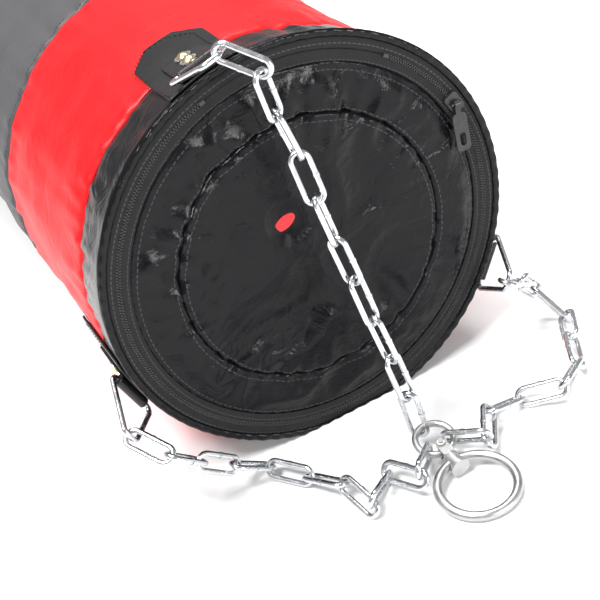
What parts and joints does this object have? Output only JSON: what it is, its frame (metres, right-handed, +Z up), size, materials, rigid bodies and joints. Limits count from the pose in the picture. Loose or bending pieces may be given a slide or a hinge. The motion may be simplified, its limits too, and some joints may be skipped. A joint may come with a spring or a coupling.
{
  "type": "uppercut bag",
  "caption": "Filled cylindrical punch bag on its side with a zipped lid and a three-chain hanging harness that meets at a swivel ring.",
  "frame": {"origin": "on the flat underside, halfway along the bag and straight below the middle of its mouth", "axes": "+Z up, +Y along the bag away from the zipped lid, +X to the right seen from in front of the lid"},
  "size_m": [0.3498, 1.0651, 0.3166],
  "materials": {
    "black_cover": "glossy coated fabric",
    "red_cover": "glossy coated fabric",
    "grey_cover": "glossy coated fabric",
    "filling": "textile shreds",
    "lid_cover": "glossy wrinkled coated fabric",
    "tag": "plain moulded tag",
    "tape": "woven tape",
    "zip_coil": "nylon coil",
    "zip_metal": "black enamel",
    "strap_leather": "grained leather",
    "rivet_brass": "plated",
    "washer_steel": "plated",
    "ring_steel": "dull galvanised",
    "zinc_wire": "bright zinc plated"
  },
  "bodies": {
    "bag": {"near_band": "black_cover", "red_bands": "red_cover", "grey_band": "grey_cover", "rear_band": "black_cover", "rear_disc": "black_cover", "filling": "filling", "lid_inner_panel": "lid_cover", "lid_outer_panel": "lid_cover", "lid_tag": "tag", "rim_binding": "tape", "zip_tape_lid": "tape", "zip_tape_bag": "tape", "zip_coil": "zip_coil", "zip_stops": "zip_metal", "strap_patches": "strap_leather", "strap_loops": "strap_leather", "rivets": "rivet_brass", "rivet_washers": "washer_steel"},
    "zip_slider": {"zip_slider": "zip_metal"},
    "zip_pull": {"zip_pull": "zip_metal"},
    "d_ring_1": {"d_ring_1": "zinc_wire", "chain_1_link_01": "zinc_wire"},
    "chain_1": {"chain_1_link_02": "zinc_wire", "chain_1_link_03": "zinc_wire", "chain_1_link_04": "zinc_wire", "chain_1_link_05": "zinc_wire", "chain_1_link_06": "zinc_wire", "chain_1_link_07": "zinc_wire", "chain_1_link_08": "zinc_wire", "chain_1_link_09": "zinc_wire", "chain_1_link_10": "zinc_wire"},
    "joining_ring": {"joining_ring": "ring_steel"},
    "d_ring_2": {"d_ring_2": "zinc_wire"},
    "chain_2_link_01": {"chain_2_link_01": "zinc_wire"},
    "chain_2_link_02": {"chain_2_link_02": "zinc_wire"},
    "chain_2_link_03": {"chain_2_link_03": "zinc_wire"},
    "chain_2_link_04": {"chain_2_link_04": "zinc_wire"},
    "chain_2_link_05": {"chain_2_link_05": "zinc_wire"},
    "chain_2_link_06": {"chain_2_link_06": "zinc_wire"},
    "chain_2_link_07": {"chain_2_link_07": "zinc_wire"},
    "chain_2_link_08": {"chain_2_link_08": "zinc_wire"},
    "chain_2_link_09": {"chain_2_link_09": "zinc_wire"},
    "chain_2_link_10": {"chain_2_link_10": "zinc_wire"},
    "d_ring_3": {"d_ring_3": "zinc_wire"},
    "chain_3_link_01": {"chain_3_link_01": "zinc_wire"},
    "chain_3_link_02": {"chain_3_link_02": "zinc_wire"},
    "chain_3_link_03": {"chain_3_link_03": "zinc_wire"},
    "chain_3_link_04": {"chain_3_link_04": "zinc_wire"},
    "chain_3_link_05": {"chain_3_link_05": "zinc_wire"},
    "chain_3_link_06": {"chain_3_link_06": "zinc_wire"},
    "chain_3_link_07": {"chain_3_link_07": "zinc_wire"},
    "chain_3_link_08": {"chain_3_link_08": "zinc_wire"},
    "chain_3_link_09": {"chain_3_link_09": "zinc_wire"},
    "chain_3_link_10": {"chain_3_link_10": "zinc_wire"},
    "swivel": {"swivel_yoke": "ring_steel", "yoke_bolt": "ring_steel", "yoke_nut": "ring_steel", "swivel_washer": "ring_steel", "swivel_pin": "ring_steel"},
    "hanging_ring": {"hanging_ring": "ring_steel"}
  },
  "joints": [
    {"name": "zip_run", "type": "hinge", "parent": "bag", "child": "zip_slider", "pos_m": [0, -0.45, 0.145], "axis": [0, 1, 0], "range_deg": [-22, 268]},
    {"name": "pull_swing", "type": "hinge", "parent": "zip_slider", "child": "zip_pull", "pos_m": [0.12507, -0.456, 0.20332], "axis": [-1, 0, 0], "range_deg": [0, 100]},
    {"name": "harness_lift", "type": "hinge", "parent": "bag", "child": "d_ring_1", "pos_m": [-0.03789, -0.444, 0.29698], "axis": [-0.9703, 0, -0.2419], "range_deg": [0, 14]},
    {"name": "chain_1_turn", "type": "hinge", "parent": "d_ring_1", "child": "chain_1", "pos_m": [-0.01329, -0.48315, 0.29265], "axis": [0.923, -0.0629, -0.3796], "range_deg": [-2, 5.88]},
    {"name": "ring_turn", "type": "hinge", "parent": "chain_1", "child": "joining_ring", "pos_m": [0.01921, -0.52484, 0.01738], "axis": [0.9927, 0.1109, 0.0472], "range_deg": [-2, 16.89]},
    {"name": "d_ring_2_swing", "type": "hinge", "parent": "bag", "child": "d_ring_2", "pos_m": [-0.14749, -0.43, 0.08838], "axis": [-0.3584, 0, 0.9336], "range_deg": [-2, 11.07]},
    {"name": "chain_2_turn_01", "type": "hinge", "parent": "d_ring_2", "child": "chain_2_link_01", "pos_m": [-0.16499, -0.4661, 0.08167], "axis": [-0.7218, -0.44, -0.5343], "range_deg": [-2, 13.25]},
    {"name": "chain_2_turn_02", "type": "hinge", "parent": "chain_2_link_01", "child": "chain_2_link_02", "pos_m": [-0.14794, -0.49153, 0.07101], "axis": [-0.4377, 0.7303, -0.5245], "range_deg": [-2, 17.93]},
    {"name": "chain_2_turn_03", "type": "hinge", "parent": "chain_2_link_02", "child": "chain_2_link_03", "pos_m": [-0.12834, -0.48268, 0.04843], "axis": [-0.7788, 0.242, -0.5787], "range_deg": [-2, 11.53]},
    {"name": "chain_2_turn_04", "type": "hinge", "parent": "chain_2_link_03", "child": "chain_2_link_04", "pos_m": [-0.1056, -0.47828, 0.02684], "axis": [0.4834, -0.8335, 0.2675], "range_deg": [-2, 9.96]},
    {"name": "chain_2_turn_05", "type": "hinge", "parent": "chain_2_link_04", "child": "chain_2_link_05", "pos_m": [-0.08074, -0.47533, 0.00825], "axis": [-0.0447, -0.826, 0.5618], "range_deg": [-2, 11.45]},
    {"name": "chain_2_turn_06", "type": "hinge", "parent": "chain_2_link_05", "child": "chain_2_link_06", "pos_m": [-0.06426, -0.50277, 0.00714], "axis": [0.9461, 0.322, -0.0341], "range_deg": [-2, 23.75]},
    {"name": "chain_2_turn_07", "type": "hinge", "parent": "chain_2_link_06", "child": "chain_2_link_07", "pos_m": [-0.04876, -0.53035, 0.01409], "axis": [0.9814, 0.1584, -0.1085], "range_deg": [-2, 20.53]},
    {"name": "chain_2_turn_08", "type": "hinge", "parent": "chain_2_link_07", "child": "chain_2_link_08", "pos_m": [-0.04314, -0.55969, 0.01098], "axis": [-0.0599, -0.6834, -0.7276], "range_deg": [-2, 23.84]},
    {"name": "chain_2_turn_09", "type": "hinge", "parent": "chain_2_link_08", "child": "chain_2_link_09", "pos_m": [-0.0203, -0.53829, 0.00954], "axis": [-0.1339, -0.9057, 0.4023], "range_deg": [-2, 15.15]},
    {"name": "chain_2_turn_10", "type": "hinge", "parent": "chain_2_link_09", "child": "chain_2_link_10", "pos_m": [-0.00609, -0.56344, 0.01867], "axis": [-0.1568, 0.8237, 0.5449], "range_deg": [-2, 22.11]},
    {"name": "d_ring_3_swing", "type": "hinge", "parent": "bag", "child": "d_ring_3", "pos_m": [0.13353, -0.442, 0.06317], "axis": [0.5225, 0, 0.8526], "range_deg": [-2, 2.3]},
    {"name": "chain_3_turn_01", "type": "hinge", "parent": "d_ring_3", "child": "chain_3_link_01", "pos_m": [0.12449, -0.48424, 0.06871], "axis": [-0.4514, -0.1238, -0.8837], "range_deg": [-2, 15.48]},
    {"name": "chain_3_turn_02", "type": "hinge", "parent": "chain_3_link_01", "child": "chain_3_link_02", "pos_m": [0.14559, -0.46926, 0.0505], "axis": [-0.7935, 0.1677, -0.5849], "range_deg": [-2, 22.08]},
    {"name": "chain_3_turn_03", "type": "hinge", "parent": "chain_3_link_02", "child": "chain_3_link_03", "pos_m": [0.16325, -0.45531, 0.02762], "axis": [0.7272, 0.0066, 0.6864], "range_deg": [-2, 6.32]},
    {"name": "chain_3_turn_04", "type": "hinge", "parent": "chain_3_link_03", "child": "chain_3_link_04", "pos_m": [0.17404, -0.47512, 0.00647], "axis": [0.8198, -0.1026, 0.5634], "range_deg": [-2, 22.31]},
    {"name": "chain_3_turn_05", "type": "hinge", "parent": "chain_3_link_04", "child": "chain_3_link_05", "pos_m": [0.1585, -0.50271, 0.01135], "axis": [-0.4487, 0.0909, 0.8891], "range_deg": [-2, 14.93]},
    {"name": "chain_3_turn_06", "type": "hinge", "parent": "chain_3_link_05", "child": "chain_3_link_06", "pos_m": [0.14419, -0.53082, 0.00985], "axis": [0.6446, -0.4487, 0.619], "range_deg": [-2, 14.38]},
    {"name": "chain_3_turn_07", "type": "hinge", "parent": "chain_3_link_06", "child": "chain_3_link_07", "pos_m": [0.11904, -0.54911, 0.01512], "axis": [0.0624, 0.7064, 0.705], "range_deg": [-2, 23.56]},
    {"name": "chain_3_turn_08", "type": "hinge", "parent": "chain_3_link_07", "child": "chain_3_link_08", "pos_m": [0.09476, -0.5296, 0.00499], "axis": [-0.1606, -0.1018, -0.9818], "range_deg": [-2, 9.92]},
    {"name": "chain_3_turn_09", "type": "hinge", "parent": "chain_3_link_08", "child": "chain_3_link_09", "pos_m": [0.06496, -0.53492, 0.01537], "axis": [0.3037, 0.0847, -0.949], "range_deg": [-2, 14.63]},
    {"name": "chain_3_turn_10", "type": "hinge", "parent": "chain_3_link_09", "child": "chain_3_link_10", "pos_m": [0.04804, -0.56104, 0.01656], "axis": [-0.0593, -0.9534, -0.2958], "range_deg": [-2, 9.31]},
    {"name": "yoke_lift", "type": "hinge", "parent": "joining_ring", "child": "swivel", "pos_m": [0.021, -0.54819, 0.01166], "axis": [-0.9994, -0.0338, -0.0088], "range_deg": [0, 35]},
    {"name": "ring_swivel", "type": "hinge", "parent": "swivel", "child": "hanging_ring", "pos_m": [0.021, -0.54819, 0.01166], "axis": [0.0346, -0.9919, -0.1219], "continuous": true}
  ],
  "couplings": [
    {"joint": "chain_1_turn", "follows": "harness_lift", "ratio": 0.25844},
    {"joint": "ring_turn", "follows": "harness_lift", "ratio": 0.9927},
    {"joint": "d_ring_2_swing", "follows": "harness_lift", "ratio": 0.60503},
    {"joint": "chain_2_turn_01", "follows": "harness_lift", "ratio": 0.75001},
    {"joint": "chain_2_turn_02", "follows": "harness_lift", "ratio": 1.0623},
    {"joint": "chain_2_turn_03", "follows": "harness_lift", "ratio": 0.63529},
    {"joint": "chain_2_turn_04", "follows": "harness_lift", "ratio": 0.53101},
    {"joint": "chain_2_turn_05", "follows": "harness_lift", "ratio": 0.63025},
    {"joint": "chain_2_turn_06", "follows": "harness_lift", "ratio": 1.4497},
    {"joint": "chain_2_turn_07", "follows": "harness_lift", "ratio": 1.2355},
    {"joint": "chain_2_turn_08", "follows": "harness_lift", "ratio": 1.4564},
    {"joint": "chain_2_turn_09", "follows": "harness_lift", "ratio": 0.87692},
    {"joint": "chain_2_turn_10", "follows": "harness_lift", "ratio": 1.3404},
    {"joint": "d_ring_3_swing", "follows": "harness_lift", "ratio": 0.02},
    {"joint": "chain_3_turn_01", "follows": "harness_lift", "ratio": 0.89838},
    {"joint": "chain_3_turn_02", "follows": "harness_lift", "ratio": 1.3385},
    {"joint": "chain_3_turn_03", "follows": "harness_lift", "ratio": 0.28826},
    {"joint": "chain_3_turn_04", "follows": "harness_lift", "ratio": 1.3542},
    {"joint": "chain_3_turn_05", "follows": "harness_lift", "ratio": 0.86183},
    {"joint": "chain_3_turn_06", "follows": "harness_lift", "ratio": 0.82528},
    {"joint": "chain_3_turn_07", "follows": "harness_lift", "ratio": 1.4374},
    {"joint": "chain_3_turn_08", "follows": "harness_lift", "ratio": 0.52799},
    {"joint": "chain_3_turn_09", "follows": "harness_lift", "ratio": 0.84233},
    {"joint": "chain_3_turn_10", "follows": "harness_lift", "ratio": 0.48716}
  ]
}
